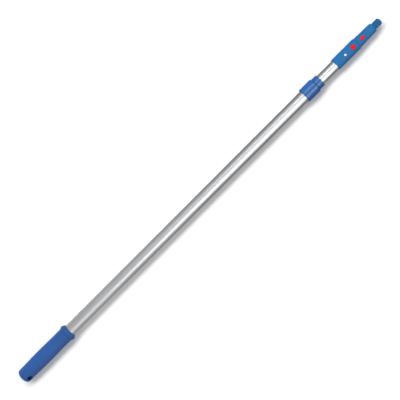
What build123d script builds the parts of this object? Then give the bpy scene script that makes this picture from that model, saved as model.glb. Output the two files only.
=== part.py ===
from build123d import *
import os
from math import sqrt

# Two-section telescopic pole with a twist-lock collar and a button-released threaded cone tip.
# Millimetres.  Every piece is first made in the pole's own frame: x runs along the pole from
# the closed end of the grip, y and z are measured from the pole's centre line.  At the end the
# pole is laid along +X on the floor plane, with the buttons looking up (+Z).

# --- clearances -------------------------------------------------------------------------------
SEAT_GAP = 0.05            # radial gap between pieces that are pressed or seated together
RUN_GAP = 0.08             # radial running gap between pieces that slide or turn on each other
FACE_GAP = 0.05            # gap between end faces that bear on each other
PASS_GAP = 0.35            # gap round a piece that passes through a window
BUTTON_RING_GAP = 0.8      # open ring round the release button, in the sleeve and the tube

# --- tubes ------------------------------------------------------------------------------------
OUTER_TUBE_D = 30.0
OUTER_TUBE_WALL = 1.2
TUBE_TO_TUBE_GAP = 0.8     # radial gap between the outer tube's bore and the inner tube
INNER_TUBE_WALL = 1.1
OUTER_TUBE_LENGTH = 967.0
TUBE_EDGE = 0.25           # broken edge at each tube end

# --- handle grip (the _OVER sizes are radial, over the outer tube) ------------------------------
GRIP_LENGTH = 165.5
GRIP_DOME_LENGTH = 10.0
GRIP_END_OVER = 3.4
GRIP_BELLY_OVER = 4.35
GRIP_BELLY_SHARE = 0.47    # where the belly is, as a share of the grip's length
GRIP_WAIST_OVER = 3.6
GRIP_WAIST_SHARE = 0.77
GRIP_WAIST_SLOPE = 0.03
GRIP_FLARE_RISE = 0.2      # radial growth from the waist to the foot of the lip's flare
GRIP_FLARE_SLOPE = 0.25
LIP_OVER = 6.5
LIP_FOOT_TO_MOUTH = 16.0
LIP_CREST_TO_MOUTH = 7.6
LIP_CREST_WIDTH = 2.8
LIP_MOUTH_OVER = 2.2
HANG_HOLE_D = 14.0
HANG_HOLE_TO_END = 9.0     # from the hole's edge to the closed end
HANG_HOLE_TO_SOCKET = 3.0  # from the hole's edge to the bottom of the tube socket
HANG_HOLE_TILT = 50.0      # degrees from straight up, towards -Y
HANG_HOLE_EDGE = 1.0

# --- pieces inside the lower end of the outer tube --------------------------------------------
PLUG_FLANGE = 2.0
PLUG_DEPTH = 12.0
PLUG_WALL = 2.2
BUMPER_THICKNESS = 6.5
BUMPER_CLEAR = 0.5         # radial gap between the bumper and the tube's bore
BUMPER_EDGE = 1.5

# --- clamp on the upper end of the outer tube -------------------------------------------------
MOUTH_BUSH_LENGTH = 58.0
MOUTH_BUSH_FLANGE = 1.0
FERRULE_SKIRT = 23.0       # length of ferrule over the outer tube
FERRULE_WALL = 1.0
FERRULE_LIP = 2.0
FERRULE_CONE_LENGTH = 9.5
FERRULE_CONE_SMALL_OVER = 0.9   # radial, over the inner tube
FERRULE_CONE_LARGE_OVER = 2.1
FERRULE_CONE_LAND = 0.3    # step between the lip's bore and the cone's small end
FERRULE_PIN_D = 3.0
FERRULE_PIN_INSET = 3.0    # from the ferrule's lower end
COLLET_HEEL = 2.5
COLLET_HEEL_OVER = 1.5     # radial, over the inner tube
COLLET_HEEL_GAP = 1.0      # from the ferrule's upper end to the heel
COLLET_NECK_LENGTH = 0.5   # unslotted length below the heel
COLLET_HEEL_SIDE_GAP = 0.15
COLLET_SET_IN = 0.5        # the collet's cone starts and ends this far inside the ferrule's
COLLET_SLOT_WIDTH = 1.0
COLLET_SLOT_COUNT = 6
COLLET_KEY_WIDTH = 3.0
COLLET_KEY_LENGTH = 3.0
COLLET_KEY_PAST = 0.2      # how far the key reaches past the ferrule's upper end
COLLET_KEY_DROP = 0.15     # how far the key stays below the ferrule's outside
CONE_GAP = 0.12            # radial gap between the collet's cone and the ferrule's cone
WASHER_THICKNESS = 1.0
CLAMP_THREAD_PITCH = 3.0
CLAMP_THREAD_DEPTH = 0.55
CLAMP_THREAD_CREST = 0.8
CLAMP_THREAD_BASE = 1.5
CLAMP_THREAD_TURNS = 4.5
CLAMP_THREAD_INSET = 7.0   # from the ferrule's lower end
COLLAR_THREAD_TURNS = 2.0
COLLAR_THREAD_LEAD = 1.5   # turns between the start of the ferrule's ridge and the collar's
COLLAR_THREAD_GAP = 0.25   # radial gap between crest and facing bore
THREAD_ROOT_SINK = 0.15    # how far a ridge's root is buried in its wall

# --- lock collar (twist nut) ------------------------------------------------------------------
COLLAR_WALL = 1.85         # wall of the body, over its threaded bore
COLLAR_STEP = 0.5          # the bore steps in this far below the collet's heel
COLLAR_BODY_PAST_STEP = 2.0
COLLAR_NECK_WALL = 2.75
COLLAR_NECK_LENGTH = 14.8
COLLAR_SHOULDER = 3.0      # length of the sloping shoulder between body and neck
COLLAR_FOOT_ROUND = 1.2
COLLAR_TO_FERRULE = 1.5    # the collar reaches this far below the ferrule
WIPER_LENGTH = 3.4
WIPER_THICKNESS = 1.25
WIPER_TO_RIM = 3.0
COLLAR_BORE_CLEAR = 0.35   # radial gap between the collar's neck bore and the inner tube

# --- telescope --------------------------------------------------------------------------------
SHOWN_INNER_TUBE = 52.2    # inner tube between collar and tip sleeve, as stored
CLOSED_TRAVEL = 50.0       # how far the inner tube can still be pushed in
CLOSED_GAP = 1.5           # gap left above the bumper when fully pushed in
GUIDE_FLANGE = 12.0
GUIDE_PLUG = 40.0
GUIDE_PLUG_BORE = 15.0
STOP_RING_LENGTH = 36.0
STOP_RING_SET_BACK = 20.0  # from the inner tube's lower end
BUSH_PIN_D = 3.0
BUSH_PIN_SET_BACK = 30.0

# --- tip sleeve -------------------------------------------------------------------------------
SLEEVE_LENGTH = 74.0
SLEEVE_WALL = 2.2
SLEEVE_END_WALL = 3.5      # lip that covers the inner tube's upper end
SLEEVE_TOP_ROUND = 1.0
SLEEVE_FOOT_CHAMFER = 0.9
RIVET_TO_SPIGOT = 10.35    # from the rivet's middle to the cone's spigot
RIVET_HEAD_D = 6.0
RIVET_HEAD_HEIGHT = 1.0
RIVET_HEAD_ROUND = 0.7
RIVET_SHANK_D = 4.0
RIVET_SHANK_SINK = 0.1     # how far the shank runs into the head and the bulb
RIVET_BULB_D = 5.4
RIVET_BULB_LENGTH = 1.7
RIVET_RECESS_D = 8.0
RIVET_RECESS_DEPTH = 1.1
BUTTON_TO_SLEEVE_TOP = 8.85     # from the button's edge

# --- threaded cone ----------------------------------------------------------------------------
CONE_LENGTH = 57.5
CONE_SET_BACK = 1.55       # radial step from the sleeve down to the cone
CONE_TAPER = 1.2           # radial loss from the cone's low end to its top
CONE_TOP_CHAMFER = 2.6     # along the pole
CONE_TOP_LEDGE = 0.675     # radial ledge between the chamfer and the thread
CONE_SHOULDER_GAP = 0.6
SPIGOT_LENGTH = 31.0
SPIGOT_WALL = 4.32
SPIGOT_LEAD = 1.0
CONE_BORE_ABOVE_SLEEVE = 35.0
TIP_THREAD_LENGTH = 22.5
TIP_THREAD_D = 19.05       # 3/4 inch
TIP_THREAD_PITCH = 5.08    # 5 threads per inch
TIP_THREAD_DEPTH = 1.85
TIP_GROOVE_ROOT = 1.9      # groove width at its root
TIP_GROOVE_MOUTH = 2.9     # groove width at the crest
TIP_GROOVE_PAST = 0.6      # how far the groove's cutter stands out of the crest
TIP_THREAD_START = -160.0  # degrees round from the underside at which the groove starts
TIP_RELIEF = 2.8           # undercut next to the cone
TIP_DOME_R = 6.0

# --- release button, tool latch and what is under them ----------------------------------------
BUTTON_D = 11.6
BUTTON_RISE = 0.4          # height of the crown's edge over the sleeve
BUTTON_CROWN = 0.4         # extra height of the crown's middle
BUTTON_DIMPLE_D = 3.0
BUTTON_DIMPLE_DEPTH = 0.7
BUTTON_EDGE = 0.7
BUTTON_ROOF = 4.05         # from the crown down to the spring's upper seat
BUTTON_FOOT_PAST = 2.3     # how far the foot reaches past the stem, up and down the pole
BUTTON_FOOT_Y = 8.0
LATCH_X_SIZE = 12.6
LATCH_Y_SIZE = 6.8
LATCH_RISE = 1.7
LATCH_EDGE = 0.9
LATCH_ROOF = 5.0
LATCH_FOOT_PAST = 2.0
LATCH_FOOT_Y = 6.6
LATCH_ABOVE_SLEEVE = 17.35
FOOT_THICKNESS = 1.9
FOOT_GAP = 0.12            # radial gap between a foot's upper corners and the cone's bore
PRESS_MARGIN = 0.25        # how far past flush a button can be pressed
CARRIER_DROP = 0.4         # gap left under the button's foot when it is pressed
CARRIER_END_GAP = 1.0
POCKET_DEPTH = 4.0
BUTTON_SPRING_D = 6.2
BUTTON_SPRING_WIRE = 0.7
BUTTON_SPRING_TURNS = 8
LATCH_SPRING_D = 4.4
LATCH_SPRING_WIRE = 0.6
LATCH_SPRING_TURNS = 9
SPRING_SIDE_GAP = 0.25
CARRIER_PIN_D = 2.5
CARRIER_PIN_DROP = 4.0
CARRIER_PIN_TO_SLEEVE_TOP = 2.4
CARRIER_PIN_END_GAP = 0.48
PIN_END_GAP = 0.12
CUT_PAST = 1.0             # how far a cutting shape runs past the surface it opens

# --- radii and places worked out from the sizes above -----------------------------------------
outer_r = OUTER_TUBE_D / 2
outer_bore_r = outer_r - OUTER_TUBE_WALL
inner_r = outer_bore_r - TUBE_TO_TUBE_GAP
inner_bore_r = inner_r - INNER_TUBE_WALL
slide_bore_r = inner_r + RUN_GAP           # every bore that the inner tube slides through
guide_r = outer_bore_r - RUN_GAP           # every ring that slides inside the outer tube
grip_end_r = outer_r + GRIP_END_OVER
lip_r = outer_r + LIP_OVER
ferrule_bore_r = outer_r + SEAT_GAP
ferrule_r = ferrule_bore_r + FERRULE_WALL
seat_small_r = inner_r + FERRULE_CONE_SMALL_OVER
seat_large_r = inner_r + FERRULE_CONE_LARGE_OVER
heel_r = inner_r + COLLET_HEEL_OVER
collar_bore_r = ferrule_r + CLAMP_THREAD_DEPTH + COLLAR_THREAD_GAP
collar_r = collar_bore_r + COLLAR_WALL
neck_bore_r = inner_r + COLLAR_BORE_CLEAR
sleeve_bore_r = inner_r + SEAT_GAP
sleeve_r = sleeve_bore_r + SLEEVE_WALL
spigot_r = inner_bore_r - RUN_GAP
spigot_bore_r = spigot_r - SPIGOT_WALL
cone_base_r = sleeve_r - CONE_SET_BACK
thread_crest_r = TIP_THREAD_D / 2
thread_root_r = thread_crest_r - TIP_THREAD_DEPTH
button_r = BUTTON_D / 2
button_window_r = button_r + BUTTON_RING_GAP

hang_hole_x = HANG_HOLE_TO_END + HANG_HOLE_D / 2
socket_x = hang_hole_x + HANG_HOLE_D / 2 + HANG_HOLE_TO_SOCKET
tube_low_x = socket_x + FACE_GAP + PLUG_FLANGE
tube_top_x = tube_low_x + OUTER_TUBE_LENGTH
ferrule_low_x = tube_top_x - FERRULE_SKIRT
ferrule_lip_x = tube_top_x + MOUTH_BUSH_FLANGE
cone_seat_x = ferrule_lip_x + FERRULE_LIP
ferrule_top_x = cone_seat_x + FERRULE_CONE_LENGTH
collet_heel_x = ferrule_top_x + COLLET_HEEL_GAP
washer_x = collet_heel_x + COLLET_HEEL + FACE_GAP
collar_low_x = ferrule_low_x - COLLAR_TO_FERRULE
collar_step_x = collet_heel_x - COLLAR_STEP
collar_seat_x = washer_x + WASHER_THICKNESS + FACE_GAP
neck_x = collar_step_x + COLLAR_BODY_PAST_STEP
collar_top_x = neck_x + COLLAR_NECK_LENGTH
wiper_x = collar_top_x - WIPER_TO_RIM - WIPER_LENGTH

bumper_x = tube_low_x + PLUG_DEPTH + FACE_GAP
bumper_top_x = bumper_x + BUMPER_THICKNESS
guide_low_x = bumper_top_x + CLOSED_GAP + CLOSED_TRAVEL
inner_low_x = guide_low_x + GUIDE_FLANGE
stop_ring_x = inner_low_x + STOP_RING_SET_BACK
bush_pin_x = inner_low_x + BUSH_PIN_SET_BACK
mouth_bush_x = tube_top_x - MOUTH_BUSH_LENGTH

sleeve_low_x = collar_top_x + SHOWN_INNER_TUBE
sleeve_top_x = sleeve_low_x + SLEEVE_LENGTH
inner_top_x = sleeve_top_x - SLEEVE_END_WALL - FACE_GAP
spigot_low_x = sleeve_top_x - SPIGOT_LENGTH
rivet_x = spigot_low_x - RIVET_TO_SPIGOT
button_x = sleeve_top_x - BUTTON_TO_SLEEVE_TOP - button_r
carrier_pin_x = sleeve_top_x - CARRIER_PIN_TO_SLEEVE_TOP
cone_low_x = sleeve_top_x + CONE_SHOULDER_GAP
cone_top_x = sleeve_top_x + CONE_LENGTH
cone_edge_x = cone_top_x - CONE_TOP_CHAMFER
cone_bore_end_x = sleeve_top_x + CONE_BORE_ABOVE_SLEEVE
overall_length = cone_top_x + TIP_THREAD_LENGTH

latch_x = sleeve_top_x + LATCH_ABOVE_SLEEVE
latch_surface_r = cone_base_r - CONE_TAPER * (latch_x - cone_low_x) / (cone_edge_x - cone_low_x)
button_edge_z = sleeve_r + BUTTON_RISE
button_top_z = button_edge_z + BUTTON_CROWN
latch_top_z = latch_surface_r + LATCH_RISE
button_foot_z = sqrt((spigot_bore_r - FOOT_GAP) ** 2 - (BUTTON_FOOT_Y / 2) ** 2) - FOOT_THICKNESS
latch_foot_z = sqrt((spigot_bore_r - FOOT_GAP) ** 2 - (LATCH_FOOT_Y / 2) ** 2) - FOOT_THICKNESS
button_seat_z = button_top_z - BUTTON_ROOF
latch_seat_z = latch_top_z - LATCH_ROOF

# --- room under the buttons -------------------------------------------------------------------
# The release button is pressed until its crown is inside the inner tube's bore, which frees the
# cone, and its foot must then still clear the carrier's flat top.
button_travel = button_top_z - inner_bore_r + PRESS_MARGIN
carrier_flat_z = button_foot_z - button_travel - CARRIER_DROP
pocket_floor_z = carrier_flat_z - POCKET_DEPTH


# --- making helpers ---------------------------------------------------------------------------
def spun(*edges):
    """Solid of revolution about the pole's line from a closed outline drawn as (x, radius)."""
    outline = make_face(Plane.XZ * Wire(list(edges)))
    return revolve(outline, Axis.X, 360)


def turned(*corners):
    """Solid of revolution about the pole's line from the (x, radius) corners of its outline."""
    closed = list(corners) + [corners[0]]
    return spun(*[Line(one, two) for one, two in zip(closed, closed[1:])])


def ring(x_low, x_high, r_in, r_out):
    """Plain tube round the pole's line."""
    return turned((x_low, r_in), (x_high, r_in), (x_high, r_out), (x_low, r_out))


def rod(x_low, x_high, radius):
    """Plain cylinder on the pole's line."""
    return turned((x_low, 0), (x_high, 0), (x_high, radius), (x_low, radius))


def post(x, z_low, z_high, radius):
    """Upright cylinder standing over the pole's line at x."""
    return Pos(x, 0, (z_low + z_high) / 2) * Cylinder(radius, z_high - z_low)


def cross_pin(x, z, half_length, radius):
    """Cylinder across the pole, along y."""
    return Pos(x, 0, z) * Rot(90, 0, 0) * Cylinder(radius, 2 * half_length)


def block(x, z_low, z_high, x_size, y_size):
    """Upright box over the pole's line, centred on x."""
    return Pos(x, 0, (z_low + z_high) / 2) * Box(x_size, y_size, z_high - z_low)


def pill(x, z_low, z_high, x_size, y_size):
    """Upright solid with an oblong plan whose ends are half circles."""
    plan = Pos(x, 0, z_low) * SlotOverall(x_size, y_size)
    return extrude(plan, z_high - z_low)


def along_pole(upright, x):
    """Turn a solid made along +Z so that it runs along the pole, from x."""
    return Pos(x, 0, 0) * Rot(0, 90, 0) * upright


def helical_bar(pitch, turns, radius, corners):
    """Bar of the given (radius, height) section, swept along a right-hand helix up +Z."""
    path = Helix(pitch=pitch, height=pitch * turns, radius=radius)
    section = make_face(Plane.XZ * Polyline(*corners, close=True))
    return sweep(section, path=path, is_frenet=True)


def coil_spring(x, z_low, z_high, outside_d, wire_d, turns):
    """Upright coil spring of round wire."""
    mean_r = (outside_d - wire_d) / 2
    height = z_high - z_low - wire_d
    path = Helix(pitch=height / turns, height=height, radius=mean_r)
    section = Plane(origin=path @ 0, z_dir=path % 0) * Circle(wire_d / 2)
    return Pos(x, 0, z_low + wire_d / 2) * sweep(section, path=path, is_frenet=True)


# --- outer stage ------------------------------------------------------------------------------
def make_handle_grip():
    bore_r = outer_r + SEAT_GAP
    dome_rim = (GRIP_DOME_LENGTH, grip_end_r)
    belly = (GRIP_LENGTH * GRIP_BELLY_SHARE, outer_r + GRIP_BELLY_OVER)
    waist = (GRIP_LENGTH * GRIP_WAIST_SHARE, outer_r + GRIP_WAIST_OVER)
    flare_foot = (GRIP_LENGTH - LIP_FOOT_TO_MOUTH, waist[1] + GRIP_FLARE_RISE)
    crest_x = GRIP_LENGTH - LIP_CREST_TO_MOUTH
    crest_low = (crest_x - LIP_CREST_WIDTH / 2, lip_r)
    crest_high = (crest_x + LIP_CREST_WIDTH / 2, lip_r)
    mouth = (GRIP_LENGTH, outer_r + LIP_MOUTH_OVER)
    mouth_bore = (GRIP_LENGTH, bore_r)
    socket_rim = (socket_x, bore_r)
    along_waist = (1, GRIP_WAIST_SLOPE)
    dome_middle = (GRIP_DOME_LENGTH, 0)
    grip = spun(
        EllipticalCenterArc(dome_middle, GRIP_DOME_LENGTH, grip_end_r, start_angle=90, arc_size=90),
        Spline(dome_rim, belly, waist, flare_foot, tangents=[(1, 0), along_waist]),
        Spline(flare_foot, crest_low, tangents=[along_waist, (1, GRIP_FLARE_SLOPE)]),
        Line(crest_low, crest_high),
        Line(crest_high, mouth),
        Line(mouth, mouth_bore),
        Line(mouth_bore, socket_rim),
        Line(socket_rim, (socket_x, 0)),
        Line((socket_x, 0), (0, 0)),
    )
    return grip - hang_hole_cutter()


def hang_hole_cutter():
    """Straight hole through the solid end, with a broken edge at each mouth."""
    reach = 2 * grip_end_r
    radius = HANG_HOLE_D / 2
    hole = Cylinder(radius, 2 * reach)
    from_foot = (Align.CENTER, Align.CENTER, Align.MIN)
    flare = Cone(radius, radius + reach, reach, align=from_foot)
    upper = Pos(0, 0, grip_end_r - HANG_HOLE_EDGE) * flare
    lower = Rot(180, 0, 0) * upper
    return Pos(hang_hole_x, 0, 0) * Rot(HANG_HOLE_TILT, 0, 0) * (hole + upper + lower)


def make_outer_tube():
    tube = ring(tube_low_x, tube_top_x, outer_bore_r, outer_r)
    tube = chamfer(tube.edges().filter_by(GeomType.CIRCLE), TUBE_EDGE)
    return tube - ferrule_pin_holes()


def make_end_plug():
    plug_r = outer_bore_r - SEAT_GAP
    flange = rod(socket_x + FACE_GAP, tube_low_x - FACE_GAP, outer_r)
    plug = rod(tube_low_x - FACE_GAP, tube_low_x + PLUG_DEPTH, plug_r)
    recess = rod(socket_x - CUT_PAST, tube_low_x + PLUG_DEPTH - PLUG_WALL, plug_r - PLUG_WALL)
    return flange + plug - recess


def make_stop_bumper():
    pad = rod(bumper_x, bumper_top_x, outer_bore_r - BUMPER_CLEAR)
    top_rim = pad.edges().filter_by(GeomType.CIRCLE).sort_by(Axis.X)[-1]
    return fillet(top_rim, BUMPER_EDGE)


def make_mouth_bush():
    skirt = ring(mouth_bush_x, tube_top_x + FACE_GAP, slide_bore_r, outer_bore_r - SEAT_GAP)
    flange = ring(tube_top_x + FACE_GAP, ferrule_lip_x - FACE_GAP, slide_bore_r, outer_r - SEAT_GAP)
    return skirt + flange


def ferrule_pin_holes():
    x = ferrule_low_x + FERRULE_PIN_INSET
    return cross_pin(x, 0, ferrule_r + CUT_PAST, FERRULE_PIN_D / 2 + SEAT_GAP)


def make_ferrule_pins():
    x = ferrule_low_x + FERRULE_PIN_INSET
    low = outer_bore_r + PIN_END_GAP
    high = ferrule_r + PIN_END_GAP
    half = cross_pin(0, 0, (high - low) / 2, FERRULE_PIN_D / 2)
    middle = (low + high) / 2
    return Compound([Pos(x, middle, 0) * half, Pos(x, -middle, 0) * half])


def clamp_ridge(turns, r_root, r_crest):
    """Trapezoid ridge for the clamp's thread, growing from r_root to r_crest."""
    base = CLAMP_THREAD_BASE / 2
    crest = CLAMP_THREAD_CREST / 2
    corners = [(r_root, -base), (r_crest, -crest), (r_crest, crest), (r_root, base)]
    return helical_bar(CLAMP_THREAD_PITCH, turns, ferrule_r, corners)


def make_clamp_ferrule():
    lip_bore_r = seat_small_r - FERRULE_CONE_LAND
    shell = turned(
        (ferrule_low_x, ferrule_bore_r),
        (ferrule_lip_x, ferrule_bore_r),
        (ferrule_lip_x, lip_bore_r),
        (cone_seat_x, lip_bore_r),
        (cone_seat_x, seat_small_r),
        (ferrule_top_x, seat_large_r),
        (ferrule_top_x, ferrule_r),
        (ferrule_low_x, ferrule_r),
    )
    ridge_crest_r = ferrule_r + CLAMP_THREAD_DEPTH
    ridge = clamp_ridge(CLAMP_THREAD_TURNS, ferrule_r - THREAD_ROOT_SINK, ridge_crest_r)
    key_way = block(
        ferrule_top_x,
        0,
        ferrule_r + CUT_PAST,
        2 * (COLLET_KEY_LENGTH + PASS_GAP),
        COLLET_KEY_WIDTH + 2 * PASS_GAP,
    )
    threaded = shell + along_pole(ridge, ferrule_low_x + CLAMP_THREAD_INSET)
    return threaded - ferrule_pin_holes() - key_way - Rot(180, 0, 0) * key_way


# --- clamp: the collet and washer that ride in the collar ---------------------------------------
def make_collet():
    """Split cone that grips the inner tube, keyed to the ferrule so that it can't turn."""
    rise = (seat_large_r - seat_small_r) / FERRULE_CONE_LENGTH
    small_x = cone_seat_x + COLLET_SET_IN
    large_x = ferrule_top_x - COLLET_SET_IN
    small_r = seat_small_r + rise * COLLET_SET_IN - CONE_GAP
    large_r = small_r + rise * (large_x - small_x)
    body = turned(
        (small_x, slide_bore_r),
        (collet_heel_x + COLLET_HEEL, slide_bore_r),
        (collet_heel_x + COLLET_HEEL, heel_r),
        (ferrule_top_x, heel_r),
        (large_x, large_r),
        (small_x, small_r),
    )
    key = block(
        ferrule_top_x - COLLET_KEY_LENGTH / 2 + COLLET_KEY_PAST,
        small_r,
        ferrule_r - COLLET_KEY_DROP,
        COLLET_KEY_LENGTH,
        COLLET_KEY_WIDTH,
    )
    body = body + key + Rot(180, 0, 0) * key
    slot_low_x = small_x - CUT_PAST
    slot_high_x = collet_heel_x - COLLET_NECK_LENGTH
    slot_x = (slot_low_x + slot_high_x) / 2
    slot = block(slot_x, 0, ferrule_r + CUT_PAST, slot_high_x - slot_low_x, COLLET_SLOT_WIDTH)
    for index in range(COLLET_SLOT_COUNT):
        body = body - Rot(360 * (index + 1 / 2) / COLLET_SLOT_COUNT, 0, 0) * slot
    return body


def make_thrust_washer():
    return ring(washer_x, washer_x + WASHER_THICKNESS, inner_r + PASS_GAP, heel_r)


# --- lock collar ------------------------------------------------------------------------------
def make_lock_collar():
    neck_r = neck_bore_r + COLLAR_NECK_WALL
    heel_bore_r = heel_r + COLLET_HEEL_SIDE_GAP
    groove_r = slide_bore_r + WIPER_THICKNESS + SEAT_GAP
    groove_low_x = wiper_x - FACE_GAP
    groove_high_x = wiper_x + WIPER_LENGTH + FACE_GAP
    shell = turned(
        (collar_low_x, collar_bore_r),
        (collar_step_x, collar_bore_r),
        (collar_step_x, heel_bore_r),
        (collar_seat_x, heel_bore_r),
        (collar_seat_x, neck_bore_r),
        (groove_low_x, neck_bore_r),
        (groove_low_x, groove_r),
        (groove_high_x, groove_r),
        (groove_high_x, neck_bore_r),
        (collar_top_x, neck_bore_r),
        (collar_top_x, neck_r),
        (neck_x, neck_r),
        (neck_x - COLLAR_SHOULDER, collar_r),
        (collar_low_x, collar_r),
    )
    low_rims = shell.edges().filter_by(GeomType.CIRCLE).group_by(Axis.X)[0]
    shell = fillet(low_rims.sort_by(SortBy.RADIUS)[-1], COLLAR_FOOT_ROUND)
    ridge_crest_r = ferrule_r + COLLAR_THREAD_GAP
    ridge = clamp_ridge(COLLAR_THREAD_TURNS, collar_bore_r + THREAD_ROOT_SINK, ridge_crest_r)
    lead = CLAMP_THREAD_INSET + COLLAR_THREAD_LEAD * CLAMP_THREAD_PITCH
    return shell + along_pole(ridge, ferrule_low_x + lead)


def make_wiper_ring():
    return ring(wiper_x, wiper_x + WIPER_LENGTH, slide_bore_r, slide_bore_r + WIPER_THICKNESS)


# --- inner stage ------------------------------------------------------------------------------
def rivet_hole():
    return post(rivet_x, 0, sleeve_r, RIVET_SHANK_D / 2 + SEAT_GAP)


def button_hole():
    return post(button_x, 0, sleeve_r + CUT_PAST, button_window_r)


def bush_pin_hole():
    return cross_pin(bush_pin_x, 0, outer_r, BUSH_PIN_D / 2 + SEAT_GAP)


def make_inner_tube():
    tube = ring(inner_low_x, inner_top_x, inner_bore_r, inner_r)
    tube = chamfer(tube.edges().filter_by(GeomType.CIRCLE), TUBE_EDGE)
    return tube - bush_pin_hole() - rivet_hole() - button_hole()


def make_guide_bush():
    high_x = inner_low_x + GUIDE_PLUG
    flange = rod(guide_low_x, inner_low_x - FACE_GAP, guide_r)
    plug = rod(inner_low_x - FACE_GAP, high_x, inner_bore_r - SEAT_GAP)
    bore = rod(guide_low_x - CUT_PAST, high_x + CUT_PAST, GUIDE_PLUG_BORE / 2)
    return flange + plug - bore - bush_pin_hole()


def make_stop_ring():
    band = ring(stop_ring_x, stop_ring_x + STOP_RING_LENGTH, inner_r + SEAT_GAP, guide_r)
    return band - bush_pin_hole()


def make_bush_pin():
    return cross_pin(bush_pin_x, 0, guide_r - PIN_END_GAP, BUSH_PIN_D / 2)


def make_tip_sleeve():
    lip_bore_r = spigot_r + RUN_GAP
    shell = turned(
        (sleeve_low_x, sleeve_bore_r),
        (sleeve_top_x - SLEEVE_END_WALL, sleeve_bore_r),
        (sleeve_top_x - SLEEVE_END_WALL, lip_bore_r),
        (sleeve_top_x, lip_bore_r),
        (sleeve_top_x, sleeve_r),
        (sleeve_low_x, sleeve_r),
    )
    top_rims = shell.edges().filter_by(GeomType.CIRCLE).group_by(Axis.X)[-1]
    shell = fillet(top_rims.sort_by(SortBy.RADIUS)[-1], SLEEVE_TOP_ROUND)
    low_rims = shell.edges().filter_by(GeomType.CIRCLE).group_by(Axis.X)[0]
    shell = chamfer(low_rims.sort_by(SortBy.RADIUS)[-1], SLEEVE_FOOT_CHAMFER)
    recess = post(rivet_x, sleeve_r - RIVET_RECESS_DEPTH, sleeve_r + CUT_PAST, RIVET_RECESS_D / 2)
    return shell - recess - rivet_hole() - button_hole()


def make_sleeve_rivet():
    """Blind rivet: domed head in the sleeve's recess, shank, and the set bulb inside the tube."""
    head_low = sleeve_r - RIVET_RECESS_DEPTH + FACE_GAP
    bulb_r = RIVET_BULB_D / 2
    bulb_top = sqrt(inner_bore_r**2 - bulb_r**2) - FACE_GAP
    head = post(rivet_x, head_low, head_low + RIVET_HEAD_HEIGHT, RIVET_HEAD_D / 2)
    head_rim = head.edges().filter_by(GeomType.CIRCLE).sort_by(Axis.Z)[-1]
    head = fillet(head_rim, RIVET_HEAD_ROUND)
    shank_low = bulb_top - RIVET_SHANK_SINK
    shank_high = head_low + RIVET_SHANK_SINK
    shank = post(rivet_x, shank_low, shank_high, RIVET_SHANK_D / 2)
    bulb = post(rivet_x, bulb_top - RIVET_BULB_LENGTH, bulb_top, bulb_r)
    return head + shank + bulb


# --- threaded cone ----------------------------------------------------------------------------
def tip_groove():
    """Helical groove of the tip's thread, running from the relief out past the end."""
    slope = (TIP_GROOVE_MOUTH - TIP_GROOVE_ROOT) / 2 / TIP_THREAD_DEPTH
    root = TIP_GROOVE_ROOT / 2
    mouth = TIP_GROOVE_MOUTH / 2 + slope * TIP_GROOVE_PAST
    mouth_r = thread_crest_r + TIP_GROOVE_PAST
    corners = [
        (thread_root_r, -root),
        (mouth_r, -mouth),
        (mouth_r, mouth),
        (thread_root_r, root),
    ]
    turns = TIP_THREAD_LENGTH / TIP_THREAD_PITCH
    groove = helical_bar(TIP_THREAD_PITCH, turns, thread_crest_r, corners)
    start_x = cone_top_x + TIP_RELIEF - TIP_GROOVE_MOUTH / 2
    return Rot(TIP_THREAD_START, 0, 0) * along_pole(groove, start_x)


def tip_end_cutter():
    """Ring that rounds the thread's far end."""
    round_low = (overall_length - TIP_DOME_R, thread_crest_r)
    round_high = (overall_length, thread_crest_r - TIP_DOME_R)
    past_r = thread_crest_r + CUT_PAST
    past_x = overall_length + CUT_PAST
    return spun(
        TangentArc(round_low, round_high, tangent=(1, 0)),
        Line(round_high, (past_x, round_high[1])),
        Line((past_x, round_high[1]), (past_x, past_r)),
        Line((past_x, past_r), (round_low[0], past_r)),
        Line((round_low[0], past_r), round_low),
    )


def carrier_pin_hole():
    return cross_pin(carrier_pin_x, -CARRIER_PIN_DROP, sleeve_r, CARRIER_PIN_D / 2 + SEAT_GAP)


def make_threaded_cone():
    relief_x = cone_top_x + TIP_RELIEF
    cone = turned(
        (spigot_low_x, spigot_bore_r),
        (cone_bore_end_x, spigot_bore_r),
        (cone_bore_end_x, 0),
        (relief_x, 0),
        (relief_x, thread_root_r),
        (cone_top_x, thread_root_r),
        (cone_top_x, thread_crest_r + CONE_TOP_LEDGE),
        (cone_edge_x, cone_base_r - CONE_TAPER),
        (cone_low_x, cone_base_r),
        (cone_low_x, spigot_r),
        (spigot_low_x + SPIGOT_LEAD, spigot_r),
        (spigot_low_x, spigot_r - SPIGOT_LEAD),
    )
    thread = rod(relief_x, overall_length, thread_crest_r) - tip_groove() - tip_end_cutter()
    window_x_size = LATCH_X_SIZE + 2 * PASS_GAP
    window_y_size = LATCH_Y_SIZE + 2 * PASS_GAP
    latch_window = pill(latch_x, 0, sleeve_r, window_x_size, window_y_size)
    button_window = post(button_x, 0, sleeve_r, button_r + PASS_GAP)
    return cone + thread - latch_window - button_window - carrier_pin_hole()


def make_spring_carrier():
    bar_r = spigot_bore_r - RUN_GAP
    low = spigot_low_x + CARRIER_END_GAP
    high = cone_bore_end_x - CARRIER_END_GAP
    bar = rod(low, high, bar_r)
    above = block(
        (low + high) / 2,
        carrier_flat_z,
        bar_r + CUT_PAST,
        high - low + 2 * CUT_PAST,
        2 * (bar_r + CUT_PAST),
    )
    opening_z = carrier_flat_z + CUT_PAST
    button_pocket = post(button_x, pocket_floor_z, opening_z, BUTTON_SPRING_D / 2 + SPRING_SIDE_GAP)
    latch_pocket = post(latch_x, pocket_floor_z, opening_z, LATCH_SPRING_D / 2 + SPRING_SIDE_GAP)
    return bar - above - button_pocket - latch_pocket - carrier_pin_hole()


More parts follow.
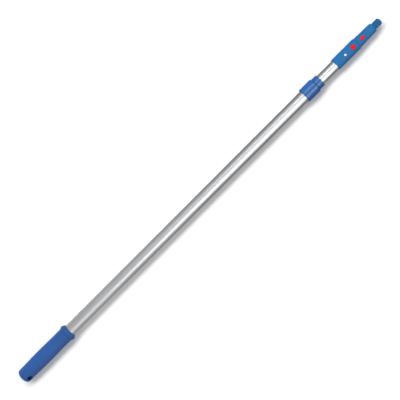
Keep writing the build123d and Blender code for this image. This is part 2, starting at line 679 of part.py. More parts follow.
def make_carrier_pin():
    half_length = sqrt(spigot_r**2 - CARRIER_PIN_DROP**2) - CARRIER_PIN_END_GAP
    return cross_pin(carrier_pin_x, -CARRIER_PIN_DROP, half_length, CARRIER_PIN_D / 2)


def make_button_spring():
    low = pocket_floor_z + FACE_GAP
    high = button_seat_z - FACE_GAP
    return coil_spring(button_x, low, high, BUTTON_SPRING_D, BUTTON_SPRING_WIRE, BUTTON_SPRING_TURNS)


def make_latch_spring():
    low = pocket_floor_z + FACE_GAP
    high = latch_seat_z - FACE_GAP
    return coil_spring(latch_x, low, high, LATCH_SPRING_D, LATCH_SPRING_WIRE, LATCH_SPRING_TURNS)


# --- moving buttons ---------------------------------------------------------------------------
def make_release_button():
    top = (0, button_top_z)
    foot_middle = (0, button_foot_z)
    foot_rim = (button_r, button_foot_z)
    side = (button_r, button_edge_z - BUTTON_EDGE)
    shoulder = (button_r - BUTTON_EDGE, button_edge_z)
    outline = [
        Line(top, foot_middle),
        Line(foot_middle, foot_rim),
        Line(foot_rim, side),
        TangentArc(side, shoulder, tangent=(0, 1)),
        TangentArc(top, shoulder, tangent=(1, 0)),
    ]
    stem = revolve(make_face(Plane.XZ * Wire(outline)), Axis.Z, 360)
    foot_x_size = BUTTON_D + 2 * BUTTON_FOOT_PAST
    foot = block(0, button_foot_z, button_foot_z + FOOT_THICKNESS, foot_x_size, BUTTON_FOOT_Y)
    dimple_r = ((BUTTON_DIMPLE_D / 2) ** 2 + BUTTON_DIMPLE_DEPTH**2) / (2 * BUTTON_DIMPLE_DEPTH)
    dimple = Pos(0, 0, button_top_z - BUTTON_DIMPLE_DEPTH + dimple_r) * Sphere(dimple_r)
    bore_r = BUTTON_SPRING_D / 2 + SPRING_SIDE_GAP
    spring_bore = post(0, button_foot_z - CUT_PAST, button_seat_z, bore_r)
    return Pos(button_x, 0, 0) * (stem + foot - dimple - spring_bore)


def make_tool_latch():
    stem = pill(latch_x, latch_foot_z, latch_top_z, LATCH_X_SIZE, LATCH_Y_SIZE)
    stem = fillet(stem.faces().sort_by(Axis.Z)[-1].edges(), LATCH_EDGE)
    foot_x_size = LATCH_X_SIZE + 2 * LATCH_FOOT_PAST
    foot = block(latch_x, latch_foot_z, latch_foot_z + FOOT_THICKNESS, foot_x_size, LATCH_FOOT_Y)
    bore_r = LATCH_SPRING_D / 2 + SPRING_SIDE_GAP
    spring_bore = post(latch_x, latch_foot_z - CUT_PAST, latch_seat_z, bore_r)
    return stem + foot - spring_bore


PIECES = {
    "handle_grip": make_handle_grip,
    "outer_tube": make_outer_tube,
    "end_plug": make_end_plug,
    "stop_bumper": make_stop_bumper,
    "mouth_bush": make_mouth_bush,
    "clamp_ferrule": make_clamp_ferrule,
    "ferrule_pins": make_ferrule_pins,
    "collet": make_collet,
    "thrust_washer": make_thrust_washer,
    "lock_collar": make_lock_collar,
    "wiper_ring": make_wiper_ring,
    "inner_tube": make_inner_tube,
    "guide_bush": make_guide_bush,
    "stop_ring": make_stop_ring,
    "bush_pin": make_bush_pin,
    "tip_sleeve": make_tip_sleeve,
    "sleeve_rivet": make_sleeve_rivet,
    "threaded_cone": make_threaded_cone,
    "spring_carrier": make_spring_carrier,
    "carrier_pin": make_carrier_pin,
    "button_spring": make_button_spring,
    "latch_spring": make_latch_spring,
    "release_button": make_release_button,
    "tool_latch": make_tool_latch,
}

os.makedirs("parts", exist_ok=True)
laid_down = Pos(-overall_length / 2, 0, lip_r)
for node, make in PIECES.items():
    export_step(laid_down * make(), f"parts/{node}.step")
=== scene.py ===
import math

import bpy
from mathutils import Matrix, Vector


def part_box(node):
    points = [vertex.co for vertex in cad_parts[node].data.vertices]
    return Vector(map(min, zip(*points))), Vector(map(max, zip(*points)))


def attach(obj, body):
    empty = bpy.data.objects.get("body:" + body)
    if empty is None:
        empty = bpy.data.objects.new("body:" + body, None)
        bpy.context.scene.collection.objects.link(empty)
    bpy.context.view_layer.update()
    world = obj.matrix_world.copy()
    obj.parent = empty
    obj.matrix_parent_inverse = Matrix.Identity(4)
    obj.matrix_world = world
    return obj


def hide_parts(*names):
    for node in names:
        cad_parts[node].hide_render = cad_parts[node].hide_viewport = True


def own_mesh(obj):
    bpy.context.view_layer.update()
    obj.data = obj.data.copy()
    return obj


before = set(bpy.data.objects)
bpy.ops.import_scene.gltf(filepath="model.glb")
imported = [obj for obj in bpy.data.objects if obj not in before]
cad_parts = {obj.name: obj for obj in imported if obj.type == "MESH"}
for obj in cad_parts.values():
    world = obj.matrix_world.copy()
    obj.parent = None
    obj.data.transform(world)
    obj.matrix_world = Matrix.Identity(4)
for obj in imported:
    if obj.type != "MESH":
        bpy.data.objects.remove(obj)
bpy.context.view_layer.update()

# The pole lies along +X on the floor. Its own centre line is AXIS_Z above the floor, at y = 0.
# Lengths are in metres and light powers in watts.
AXIS_Z = sum(v.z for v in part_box("outer_tube")) / 2

FLOOR_DROP = 0.0002
FLOOR_HALF = 30.0

CAMERA_ABOVE_AXIS = 3.1
CAMERA_X = -0.0027
CAMERA_Y = 0.0006
CAMERA_TURN = math.radians(-45)
CAMERA_NEAR = 0.05
CAMERA_FAR = 50
FIELD_AT_AXIS = 0.972
SENSOR = 36.0

LIGHT_DISTANCE = 3.0
FILL_DISTANCE = 1.8
WORLD_STRENGTH = 0.435

# Painted reflection of the floor: glossy rays see a glowing sheet in its place, dimmer than the
# floor itself, as if it stopped close by.
# It darkens from the foot of the pole to the tip, and a painted shadow darkens it on the side
# where the shadow falls.
FLOOR_GLOSS_FOOT = 0.72
FLOOR_GLOSS_TIP = 0.20
FLOOR_GLOSS_SHADOW = 0.55
FLOOR_GLOSS_X = (-0.7, 0.5)
FLOOR_GLOSS_Y = (-0.05, 0.02)

# Names ending in _BAND give the part of a texture's 0..1 range over which its effect comes in.
# Names ending in _SHADE multiply a colour: below 1 is darker and above 1 is lighter.
# Names ending in _SWING are how far a texture moves the roughness, down and up.

# Texture scales along X, Y and Z, in repeats per metre
DRIFT = (14, 34, 34)
FLOW_MARKS = (9, 240, 240)
SKIN = (900, 900, 900)
PEBBLES = (1700, 1700, 1700)
RUB_PATCHES = (230, 230, 230)
DIE_LINES = (2.5, 900, 900)
HAIRLINES = (7, 3600, 3600)
MILL_HAZE = (16, 45, 45)
SCUFFS = (60, 1500, 1500)
SCUFF_SHIFT = (3.1, 1.7, 0.4)
TOOL_RINGS = (2600, 2600, 2600)
TARNISH = (210, 210, 210)
FIBRES = (2400, 2400, 2400)
CLUMPS = (420, 420, 420)
FLOOR_CLOUDS = (1.3, 1.3, 1.3)

# Height of the surface relief, and how strongly it shows
DRIFT_RELIEF = (0.0003, 0.2)
DIE_LINE_RELIEF = (0.00003, 0.5)
HAIRLINE_RELIEF = (0.00001, 0.4)
TOOL_RING_RELIEF = (0.00002, 0.5)
FIBRE_RELIEF = (0.0002, 0.9)
PEBBLE_STRENGTH = 0.6

# Moulded plastic
MOULDED_DRIFT_BAND = (0.32, 0.68)
MOULDED_LOW_SHADE = 0.92
MOULDED_HIGH_SHADE = 1.07
MOULDED_FLOW_BAND = (0.45, 0.75)
MOULDED_FLOW_SHARE = 0.25
MOULDED_FLOW_SHADE = 1.14
# Painted shade in the pits of the pebbled skin
MOULDED_PIT_BAND = (0.10, 0.45)
MOULDED_PIT_SHARE = 0.22
MOULDED_PIT_SHADE = 0.72
MOULDED_ROUGH_BAND = (0.3, 0.7)
MOULDED_DRIFT_SWING = (-0.05, 0.05)
MOULDED_SKIN_SWING = (-0.03, 0.03)

# Drawn tube
TUBE_LINE_BAND = (0.3, 0.7)
TUBE_LOW_SHADE = 0.93
TUBE_HIGH_SHADE = 1.06
TUBE_HAZE_BAND = (0.55, 0.8)
TUBE_HAZE_SHARE = 0.25
TUBE_HAZE_SHADE = 0.84
TUBE_SCUFF_BAND = (0.70, 0.78)
TUBE_SCUFF_HAZE_BAND = (0.5, 0.7)
TUBE_SCUFF_SHARE = 0.5
TUBE_SCUFF_SHADE = 1.18
TUBE_SCUFF_ROUGHER = 0.1
TUBE_LINE_ROUGH_BAND = (0.25, 0.75)
TUBE_LINE_SWING = (-0.05, 0.04)
TUBE_HAZE_ROUGH_BAND = (0.35, 0.7)
TUBE_HAZE_SWING = (-0.03, 0.05)

# Small hardware
TARNISH_BAND = (0.4, 0.75)
TARNISH_SHADE = 0.72
HARDWARE_ROUGH_BAND = (0.3, 0.7)
TARNISH_SWING = (-0.05, 0.08)
TOOL_RING_SWING = (-0.04, 0.04)

# Felt
FELT_FIBRE_BAND = (0.35, 0.65)
FELT_LOW_SHADE = 0.7
FELT_HIGH_SHADE = 1.25
FELT_CLUMP_BAND = (0.5, 0.75)
FELT_CLUMP_SHARE = 0.35
FELT_CLUMP_SHADE = 0.8
FELT_ROUGH = 0.95
FELT_SHEEN = 0.4
FELT_GLOSS = 0.2

# Floor
FLOOR_DARKER = (0.84, 0.84, 0.842)
FLOOR_LIGHTER = (0.86, 0.86, 0.862)
FLOOR_ROUGH = 0.9
FLOOR_GLOSS_COLOUR = (1.0, 0.97, 0.93)

# Worn edges: the corner size they reach, and how much lighter and smoother they get
RUB_REACH = 0.0007
RUB_COLOUR_SHARE = 0.45
RUB_SMOOTHER = 0.10
RUB_SAMPLES = 6
RUB_PATCH_BAND = (0.40, 0.66)
RUB_NORMALS_BAND = (0.80, 0.985)

# Painted shade in crevices: the gap the mask looks across, and how much the painted shade darkens
CREVICE_SAMPLES = 8
CREVICE_LIGHT_BAND = (0.30, 0.85)
MOULDED_CREVICE_REACH = 0.003
MOULDED_CREVICE_SHARE = 0.85
MOULDED_PAINTED_SHADE = 0.16
# Tube: a brown grime colour laid where shade falls, so partly grime and partly painted shade
TUBE_CREVICE_REACH = 0.004
TUBE_CREVICE_SHARE = 0.8

# Sockets of the Mix node in its colour mode
MIX_SHARE = 0
MIX_A = 6
MIX_B = 7
MIX_RESULT = 2


# ---------------------------------------------------------------------------
# Node-material helpers
# ---------------------------------------------------------------------------


class Paint:
    """A node tree under construction, with short names for the nodes the finishes share."""

    def __init__(self, name):
        self.material = bpy.data.materials.new(name)
        self.material.use_nodes = True
        self.tree = self.material.node_tree
        self.tree.nodes.clear()
        self.out = self.tree.nodes.new("ShaderNodeOutputMaterial")
        self.bsdf = self.tree.nodes.new("ShaderNodeBsdfPrincipled")
        self.link(self.bsdf.outputs["BSDF"], self.out.inputs["Surface"])
        self.place = self.tree.nodes.new("ShaderNodeTexCoord").outputs["Object"]

    def link(self, a, b):
        self.tree.links.new(a, b)

    def put(self, socket, value):
        """A value or another node's output into a socket."""
        if hasattr(value, "links"):
            self.link(value, socket)
        else:
            socket.default_value = value

    def scaled(self, scale, offset=(0, 0, 0)):
        """The piece's own coordinates, scaled and moved."""
        node = self.tree.nodes.new("ShaderNodeMapping")
        self.link(self.place, node.inputs["Vector"])
        node.inputs["Scale"].default_value = scale
        node.inputs["Location"].default_value = offset
        return node.outputs["Vector"]

    def noise(self, vector, detail=3.0, rough=0.5, twist=0.0):
        node = self.tree.nodes.new("ShaderNodeTexNoise")
        self.link(vector, node.inputs["Vector"])
        node.inputs["Scale"].default_value = 1.0
        node.inputs["Detail"].default_value = detail
        node.inputs["Roughness"].default_value = rough
        node.inputs["Distortion"].default_value = twist
        return node.outputs["Fac"]

    def cells(self, vector):
        """Distance from the middle of the nearest of many small cells."""
        node = self.tree.nodes.new("ShaderNodeTexVoronoi")
        self.link(vector, node.inputs["Vector"])
        node.inputs["Scale"].default_value = 1.0
        return node.outputs["Distance"]

    def math(self, kind, a, b):
        node = self.tree.nodes.new("ShaderNodeMath")
        node.operation = kind
        self.put(node.inputs[0], a)
        self.put(node.inputs[1], b)
        return node.outputs[0]

    def span(self, value, band, to_low=0.0, to_high=1.0):
        """value from one end of band to the other mapped smoothly onto to_low..to_high."""
        node = self.tree.nodes.new("ShaderNodeMapRange")
        node.interpolation_type = "SMOOTHSTEP"
        self.put(node.inputs["Value"], value)
        node.inputs["From Min"].default_value = band[0]
        node.inputs["From Max"].default_value = band[1]
        node.inputs["To Min"].default_value = to_low
        node.inputs["To Max"].default_value = to_high
        return node.outputs["Result"]

    def blend(self, share, a, b):
        """Colour a, with a share of colour b over it."""
        node = self.tree.nodes.new("ShaderNodeMix")
        node.data_type = "RGBA"
        self.put(node.inputs[MIX_SHARE], share)
        self.put(node.inputs[MIX_A], a)
        self.put(node.inputs[MIX_B], b)
        return node.outputs[MIX_RESULT]

    def swing(self, value, band, swing, middle=0.0):
        """value across the band, as a roughness that swings about middle."""
        return self.span(value, band, middle + swing[0], middle + swing[1])

    def bump(self, height, relief, under=None):
        """Relief of a height map, over the relief already there."""
        node = self.tree.nodes.new("ShaderNodeBump")
        node.inputs["Distance"].default_value = relief[0]
        node.inputs["Strength"].default_value = relief[1]
        self.link(height, node.inputs["Height"])
        if under is not None:
            self.link(under, node.inputs["Normal"])
        return node.outputs["Normal"]

    def edges(self, reach):
        """1 on edges and creases sharper than reach, and 0 on smooth ground."""
        soft = self.tree.nodes.new("ShaderNodeBevel")
        soft.samples = RUB_SAMPLES
        soft.inputs["Radius"].default_value = reach
        true = self.tree.nodes.new("ShaderNodeNewGeometry")
        dot = self.tree.nodes.new("ShaderNodeVectorMath")
        dot.operation = "DOT_PRODUCT"
        self.link(soft.outputs["Normal"], dot.inputs[0])
        self.link(true.outputs["Normal"], dot.inputs[1])
        return self.span(dot.outputs["Value"], RUB_NORMALS_BAND, 1.0, 0.0)

    def crevice_shade_mask(self, reach):
        """Mask for painted shade: 1 down in gaps and grooves narrower than reach, and 0 on open
        ground.
        """
        node = self.tree.nodes.new("ShaderNodeAmbientOcclusion")
        node.samples = CREVICE_SAMPLES
        node.inputs["Distance"].default_value = reach
        return self.span(node.outputs["AO"], CREVICE_LIGHT_BAND, 1.0, 0.0)

    def finish(self, colour, roughness, normal=None, **plain):
        self.put(self.bsdf.inputs["Base Color"], colour)
        self.put(self.bsdf.inputs["Roughness"], roughness)
        if normal is not None:
            self.link(normal, self.bsdf.inputs["Normal"])
        for name, value in plain.items():
            self.bsdf.inputs[name.replace("_", " ")].default_value = value
        return self.material


def rgb(r, g, b):
    return (r, g, b, 1.0)


def shade(colour, share):
    """The same colour, darker below a share of 1 and lighter above it."""
    return tuple(c * share for c in colour[:3]) + (1.0,)


def moulded(name, colour, rough, rubbed=None, pebble=0.00004, gloss=0.5):
    """Moulded plastic: pebbled skin with painted shade in its pits, slow colour drift, flow marks,
    edges rubbed lighter, and painted shade in gaps and grooves.
    """
    p = Paint(name)
    drift = p.noise(p.scaled(DRIFT), detail=4, rough=0.6)
    fine = p.noise(p.scaled(SKIN), detail=2)
    grain = p.cells(p.scaled(PEBBLES))
    flow = p.noise(p.scaled(FLOW_MARKS), detail=3, rough=0.6)
    low, high = shade(colour, MOULDED_LOW_SHADE), shade(colour, MOULDED_HIGH_SHADE)
    base = p.blend(p.span(drift, MOULDED_DRIFT_BAND), low, high)
    streak = p.span(flow, MOULDED_FLOW_BAND, to_high=MOULDED_FLOW_SHARE)
    base = p.blend(streak, base, shade(colour, MOULDED_FLOW_SHADE))
    # Painted shade: darkens the bottoms of the pebble pits that the bump sinks in.
    pit_shade = p.span(grain, MOULDED_PIT_BAND, MOULDED_PIT_SHARE, 0.0)
    base = p.blend(pit_shade, base, shade(colour, MOULDED_PIT_SHADE))
    slow_rough = p.swing(drift, MOULDED_ROUGH_BAND, MOULDED_DRIFT_SWING, rough)
    roughness = p.math("ADD", slow_rough, p.swing(fine, MOULDED_ROUGH_BAND, MOULDED_SKIN_SWING))
    if rubbed:
        patchy = p.span(p.noise(p.scaled(RUB_PATCHES), detail=5, rough=0.7), RUB_PATCH_BAND)
        rub = p.math("MULTIPLY", p.edges(RUB_REACH), patchy)
        base = p.blend(p.math("MULTIPLY", rub, RUB_COLOUR_SHARE), base, rubbed)
        roughness = p.math("SUBTRACT", roughness, p.math("MULTIPLY", rub, RUB_SMOOTHER))
    # Painted shade: darkens the colour down in gaps and grooves, such as the ring round the
    # button, the thread grooves and the step between sleeve and cone.
    painted_crevice_shade = p.math("MULTIPLY", p.crevice_shade_mask(MOULDED_CREVICE_REACH), MOULDED_CREVICE_SHARE)
    base = p.blend(painted_crevice_shade, base, shade(colour, MOULDED_PAINTED_SHADE))
    normal = p.bump(grain, (pebble, PEBBLE_STRENGTH))
    normal = p.bump(drift, DRIFT_RELIEF, normal)
    return p.finish(base, roughness, normal, Specular_IOR_Level=gloss)


def drawn_aluminium(name, colour, rough, grime_and_shade):
    """Drawn tube: long die lines, faint mill haze, a few handling scuffs, and in the gaps a brown
    grime colour that is also painted shade.
    """
    p = Paint(name)
    lines = p.noise(p.scaled(DIE_LINES), detail=4, rough=0.7)
    hair = p.noise(p.scaled(HAIRLINES), detail=2, rough=0.5)
    haze = p.noise(p.scaled(MILL_HAZE), detail=5, rough=0.62)
    slip = p.noise(p.scaled(SCUFFS, SCUFF_SHIFT), detail=1)
    low, high = shade(colour, TUBE_LOW_SHADE), shade(colour, TUBE_HIGH_SHADE)
    tint = p.blend(p.span(lines, TUBE_LINE_BAND), low, high)
    cloudy = p.span(haze, TUBE_HAZE_BAND, to_high=TUBE_HAZE_SHARE)
    tint = p.blend(cloudy, tint, shade(colour, TUBE_HAZE_SHADE))
    scuffed = p.span(slip, TUBE_SCUFF_BAND)
    scuff = p.math("MULTIPLY", scuffed, p.span(haze, TUBE_SCUFF_HAZE_BAND))
    bright = p.math("MULTIPLY", scuff, TUBE_SCUFF_SHARE)
    tint = p.blend(bright, tint, shade(colour, TUBE_SCUFF_SHADE))
    # Painted shade with a grime tint: turns the tube brown down in the gaps, where it meets the
    # collar and the sleeve.
    painted_crevice_shade = p.math("MULTIPLY", p.crevice_shade_mask(TUBE_CREVICE_REACH), TUBE_CREVICE_SHARE)
    tint = p.blend(painted_crevice_shade, tint, grime_and_shade)
    line_rough = p.swing(lines, TUBE_LINE_ROUGH_BAND, TUBE_LINE_SWING, rough)
    roughness = p.math("ADD", line_rough, p.swing(haze, TUBE_HAZE_ROUGH_BAND, TUBE_HAZE_SWING))
    roughness = p.math("ADD", roughness, p.math("MULTIPLY", scuff, TUBE_SCUFF_ROUGHER))
    normal = p.bump(lines, DIE_LINE_RELIEF)
    normal = p.bump(hair, HAIRLINE_RELIEF, normal)
    return p.finish(tint, roughness, normal, Metallic=1.0)


def small_metal(name, colour, rough):
    """Turned or drawn hardware: tight tool rings and tarnish in the lows."""
    p = Paint(name)
    rings = p.noise(p.scaled(TOOL_RINGS), detail=3)
    stain = p.noise(p.scaled(TARNISH), detail=4, rough=0.65)
    tint = p.blend(p.span(stain, TARNISH_BAND), colour, shade(colour, TARNISH_SHADE))
    stain_rough = p.swing(stain, HARDWARE_ROUGH_BAND, TARNISH_SWING, rough)
    roughness = p.math("ADD", stain_rough, p.swing(rings, HARDWARE_ROUGH_BAND, TOOL_RING_SWING))
    return p.finish(tint, roughness, p.bump(rings, TOOL_RING_RELIEF), Metallic=1.0)


def felted(name, colour):
    """Pressed felt: matted fibres that lie in every direction."""
    p = Paint(name)
    fibre = p.noise(p.scaled(FIBRES), detail=6, rough=0.75, twist=2.5)
    clump = p.noise(p.scaled(CLUMPS), detail=3)
    low, high = shade(colour, FELT_LOW_SHADE), shade(colour, FELT_HIGH_SHADE)
    tint = p.blend(p.span(fibre, FELT_FIBRE_BAND), low, high)
    matted = p.span(clump, FELT_CLUMP_BAND, to_high=FELT_CLUMP_SHARE)
    tint = p.blend(matted, tint, shade(colour, FELT_CLUMP_SHADE))
    return p.finish(
        tint, FELT_ROUGH, p.bump(fibre, FIBRE_RELIEF),
        Sheen_Weight=FELT_SHEEN, Specular_IOR_Level=FELT_GLOSS)


FINISHES = {
    "grip_blue": moulded(
        "grip_pvc", rgb(0.0125, 0.0680, 0.240), 0.56, rubbed=rgb(0.06, 0.16, 0.40), gloss=0.35),
    "collar_blue": moulded(
        "collar_nylon", rgb(0.0120, 0.0880, 0.285), 0.30, rubbed=rgb(0.08, 0.20, 0.44),
        pebble=0.00003),
    "tip_blue": moulded(
        "tip_nylon", rgb(0.0095, 0.1150, 0.305), 0.55, rubbed=rgb(0.05, 0.22, 0.46),
        pebble=0.00003, gloss=0.2),
    "tube_aluminium": drawn_aluminium(
        "tube_drawn", rgb(0.66, 0.675, 0.69), 0.46, grime_and_shade=rgb(0.16, 0.12, 0.085)),
    "rivet_aluminium": small_metal("rivet_head", rgb(1.0, 0.98, 0.94), 0.55),
    "button_red": moulded(
        "button_acetal", rgb(0.84, 0.004, 0.002), 0.45, rubbed=rgb(0.95, 0.06, 0.05),
        pebble=0.00002, gloss=0.12),
    "bush_white": moulded(
        "bush_acetal", rgb(0.72, 0.71, 0.67), 0.42, rubbed=rgb(0.82, 0.81, 0.78), pebble=0.00002),
    "carrier_black": moulded(
        "carrier_nylon", rgb(0.020, 0.020, 0.021), 0.48, rubbed=rgb(0.08, 0.08, 0.08),
        pebble=0.00003),
    "bumper_black": moulded(
        "bumper_rubber", rgb(0.013, 0.013, 0.013), 0.75, pebble=0.00005, gloss=0.3),
    "wiper_felt": felted("wiper_wool", rgb(0.30, 0.29, 0.27)),
    "spring_steel": small_metal("spring_wire", rgb(0.62, 0.61, 0.59), 0.26),
    "pin_steel": small_metal("pin_ground", rgb(0.66, 0.65, 0.63), 0.22),
}

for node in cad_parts.values():
    for slot in node.material_slots:
        slot.material = FINISHES[slot.material.name.split(".")[0]]


# ---------------------------------------------------------------------------
# Pieces shown in place of their CAD nodes: coil springs, and a smooth round-ended latch
# ---------------------------------------------------------------------------

SHARP_FROM = math.radians(40)

BUTTON_SPRING_WIRE = 0.0007
BUTTON_SPRING_TURNS = 8
LATCH_SPRING_WIRE = 0.0006
LATCH_SPRING_TURNS = 9
COIL_STEPS = 36
WIRE_SIDES = 12

LATCH_END_STEPS = 20
LATCH_ROUND_STEPS = 8
LATCH_ROUND = 0.0009
LATCH_BORE_R = 0.00245
LATCH_ROOF = 0.005
LATCH_FOOT_PAST = 0.002
LATCH_FOOT_HEIGHT = 0.0019
LATCH_FOOT_WIDTH = 0.0066
LATCH_FOOT_START = 0.003
LATCH_FOOT_SINK = 0.00005


def stand_in(name, corners, faces, node, body, slot_name):
    """A smooth mesh shown in place of a CAD node, on the node's own body and in its finish."""
    mesh = bpy.data.meshes.new(name)
    mesh.from_pydata([tuple(c) for c in corners], [], faces)
    mesh.update()
    mesh.shade_smooth()
    mesh.set_sharp_from_angle(angle=SHARP_FROM)
    mesh.materials.append(FINISHES[slot_name])
    piece = bpy.data.objects.new(name, mesh)
    bpy.context.scene.collection.objects.link(piece)
    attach(piece, body)
    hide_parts(node)
    return piece


def joined(rows, flip=False):
    """Quads between neighbouring closed rows of corner numbers."""
    faces = []
    for one, two in zip(rows, rows[1:]):
        count = len(one)
        for j in range(count):
            k = (j + 1) % count
            quad = (one[j], one[k], two[k], two[j])
            faces.append(quad[::-1] if flip else quad)
    return faces


def coil(name, node, wire, turns):
    """Coil spring of round wire in the CAD spring's box."""
    low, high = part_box(node)
    middle = Vector(((low.x + high.x) / 2, (low.y + high.y) / 2, low.z + wire / 2))
    mean_r = (high.x - low.x - wire) / 2
    rise = high.z - low.z - wire
    lean = math.atan2(rise, 2 * math.pi * mean_r * turns)
    corners, rows = [], []
    steps = turns * COIL_STEPS
    for i in range(steps + 1):
        turn = 2 * math.pi * turns * i / steps
        outward = Vector((math.cos(turn), math.sin(turn), 0))
        onward = Vector((-math.sin(turn), math.cos(turn), 0))
        upward = Vector((0, 0, math.cos(lean))) - onward * math.sin(lean)
        centre = middle + outward * mean_r + Vector((0, 0, rise * i / steps))
        rows.append([len(corners) + j for j in range(WIRE_SIDES)])
        for j in range(WIRE_SIDES):
            side = 2 * math.pi * j / WIRE_SIDES
            rim = outward * math.cos(side) + upward * math.sin(side)
            corners.append(centre + rim * wire / 2)
    faces = joined(rows, flip=True) + [tuple(rows[0]), tuple(rows[-1][::-1])]
    spring = stand_in(name, corners, faces, node, "inner_stage", "spring_steel")
    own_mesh(spring)


def latch():
    """Oblong latch: round-ended stem with a spring bore, and the foot's two tabs."""
    low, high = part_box("tool_latch")
    cx, cy = (low.x + high.x) / 2, (low.y + high.y) / 2
    half_width = (high.y - low.y) / 2
    half_straight = (high.x - low.x) / 2 - LATCH_FOOT_PAST - half_width
    count = 2 * (LATCH_END_STEPS + 1)
    corners, rows = [], []

    def row(points):
        rows.append([len(corners) + j for j in range(len(points))])
        corners.extend(points)

    def oblong(inset, z):
        reach = half_width - inset
        points = []
        for end, facing in ((1, 0.0), (-1, math.pi)):
            for j in range(LATCH_END_STEPS + 1):
                turn = math.pi * (j / LATCH_END_STEPS - 0.5) + facing
                x = cx + end * half_straight + reach * math.cos(turn)
                points.append((x, cy + reach * math.sin(turn), z))
        row(points)

    def circle(z):
        reach = LATCH_BORE_R
        turns = [math.pi * (2 * (j + 0.5) / count - 0.5) for j in range(count)]
        row([(cx + reach * math.cos(turn), cy + reach * math.sin(turn), z) for turn in turns])

    circle(high.z - LATCH_ROOF)
    circle(low.z)
    oblong(0, low.z)
    for k in range(LATCH_ROUND_STEPS + 1):
        turn = math.pi / 2 * k / LATCH_ROUND_STEPS
        inset = LATCH_ROUND * (1 - math.cos(turn))
        oblong(inset, high.z - LATCH_ROUND * (1 - math.sin(turn)))
    faces = joined(rows) + [tuple(rows[0][::-1]), tuple(rows[-1])]
    y0, y1 = cy - LATCH_FOOT_WIDTH / 2, cy + LATCH_FOOT_WIDTH / 2
    for x0, x1 in ((low.x, cx - LATCH_FOOT_START), (cx + LATCH_FOOT_START, high.x)):
        first = len(rows)
        for z in (low.z + LATCH_FOOT_SINK, low.z + LATCH_FOOT_HEIGHT):
            row([(x0, y0, z), (x1, y0, z), (x1, y1, z), (x0, y1, z)])
        faces += joined(rows[first:]) + [tuple(rows[first][::-1]), tuple(rows[-1])]
    stand_in("latch_smooth", corners, faces, "tool_latch", "tool_latch", "button_red")


coil("button_spring_coil", "button_spring", BUTTON_SPRING_WIRE, BUTTON_SPRING_TURNS)
coil("latch_spring_coil", "latch_spring", LATCH_SPRING_WIRE, LATCH_SPRING_TURNS)
latch()


# ---------------------------------------------------------------------------
# Floor, camera, light
# ---------------------------------------------------------------------------


def make_floor():
    """A plain pale floor under the pole. Glossy rays see a glowing painted reflection of it
    instead, with a painted shadow on the side where the shadow falls.
    """
    p = Paint("floor_paint")
    cloud = p.noise(p.scaled(FLOOR_CLOUDS), detail=2)
    tint = p.blend(cloud, rgb(*FLOOR_DARKER), rgb(*FLOOR_LIGHTER))
    material = p.finish(tint, FLOOR_ROUGH, Specular_IOR_Level=0.0)
    # Painted reflection: this glowing sheet is what glossy rays see in place of the floor, dimmed
    # towards the tip and by a painted shadow across.
    painted_reflection = p.tree.nodes.new("ShaderNodeEmission")
    painted_reflection.inputs["Color"].default_value = rgb(*FLOOR_GLOSS_COLOUR)
    side = p.tree.nodes.new("ShaderNodeSeparateXYZ")
    p.link(p.place, side.inputs[0])
    along = p.span(side.outputs["X"], FLOOR_GLOSS_X, FLOOR_GLOSS_FOOT, FLOOR_GLOSS_TIP)
    across = p.span(side.outputs["Y"], FLOOR_GLOSS_Y, FLOOR_GLOSS_SHADOW)
    p.link(p.math("MULTIPLY", along, across), painted_reflection.inputs["Strength"])
    path = p.tree.nodes.new("ShaderNodeLightPath")
    pick = p.tree.nodes.new("ShaderNodeMixShader")
    p.link(path.outputs["Is Glossy Ray"], pick.inputs[0])
    p.link(p.bsdf.outputs[0], pick.inputs[1])
    p.link(painted_reflection.outputs[0], pick.inputs[2])
    p.link(pick.outputs[0], p.out.inputs["Surface"])
    mesh = bpy.data.meshes.new("floor")
    half = FLOOR_HALF
    corners = [(-half, -half), (half, -half), (half, half), (-half, half)]
    mesh.from_pydata([(x, y, -FLOOR_DROP) for x, y in corners], [], [(0, 1, 2, 3)])
    mesh.materials.append(material)
    floor = bpy.data.objects.new("floor", mesh)
    bpy.context.scene.collection.objects.link(floor)


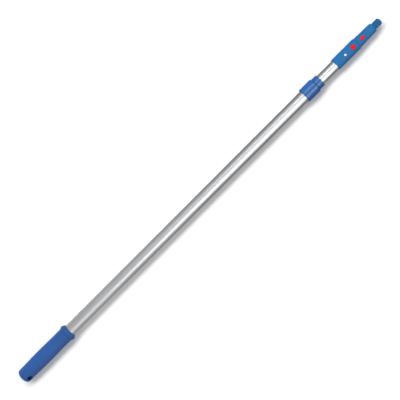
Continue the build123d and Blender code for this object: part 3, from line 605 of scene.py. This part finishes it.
def make_camera():
    """Straight above the pole, turned so that it runs from the lower left to the upper right."""
    data = bpy.data.cameras.new("camera")
    data.sensor_width = SENSOR
    data.lens = SENSOR * CAMERA_ABOVE_AXIS / FIELD_AT_AXIS
    data.clip_start = CAMERA_NEAR
    data.clip_end = CAMERA_FAR
    camera = bpy.data.objects.new("camera", data)
    camera.location = (CAMERA_X, CAMERA_Y, AXIS_Z + CAMERA_ABOVE_AXIS)
    camera.rotation_euler = (0, 0, CAMERA_TURN)
    bpy.context.scene.collection.objects.link(camera)
    bpy.context.scene.camera = camera


def softbox(name, x, lean, length, width, power, diffuse, distance=LIGHT_DISTANCE):
    """A panel light above the pole at x, length by width, leaned from straight up towards +Y by
    lean degrees. It lights either the surfaces (diffuse) or only their gloss."""
    data = bpy.data.lights.new(name, "AREA")
    data.shape = "RECTANGLE"
    data.size = length
    data.size_y = width
    data.energy = power
    light = bpy.data.objects.new(name, data)
    angle = math.radians(lean)
    light.location = (x, distance * math.sin(angle), AXIS_Z + distance * math.cos(angle))
    light.rotation_euler = (-angle, 0, 0)
    light.visible_camera = False
    light.visible_diffuse = diffuse
    light.visible_glossy = not diffuse
    bpy.context.scene.collection.objects.link(light)


def make_light():
    """An even white sky, a key and a fill for the surfaces, and two strips for the gloss."""
    world = bpy.data.worlds.new("studio")
    world.use_nodes = True
    sky = world.node_tree.nodes["Background"]
    sky.inputs["Color"].default_value = rgb(1.0, 1.0, 1.0)
    sky.inputs["Strength"].default_value = WORLD_STRENGTH
    scene = bpy.context.scene
    scene.world = world
    softbox("key", x=0.0, lean=30, length=4.0, width=1.15, power=117, diffuse=True)
    softbox(
        "fill", x=-0.3, lean=-62, length=3.0, width=0.8, power=13, diffuse=True,
        distance=FILL_DISTANCE)
    softbox("strip_near", x=1.1, lean=-36, length=2.8, width=1.7, power=60, diffuse=False)
    softbox("strip_far", x=1.4, lean=32, length=2.1, width=1.3, power=27.5, diffuse=False)
    scene.view_settings.view_transform = "Standard"
    scene.view_settings.look = "None"
    scene.view_settings.exposure = 0.0
    scene.view_settings.gamma = 1.0


make_floor()
make_camera()
make_light()
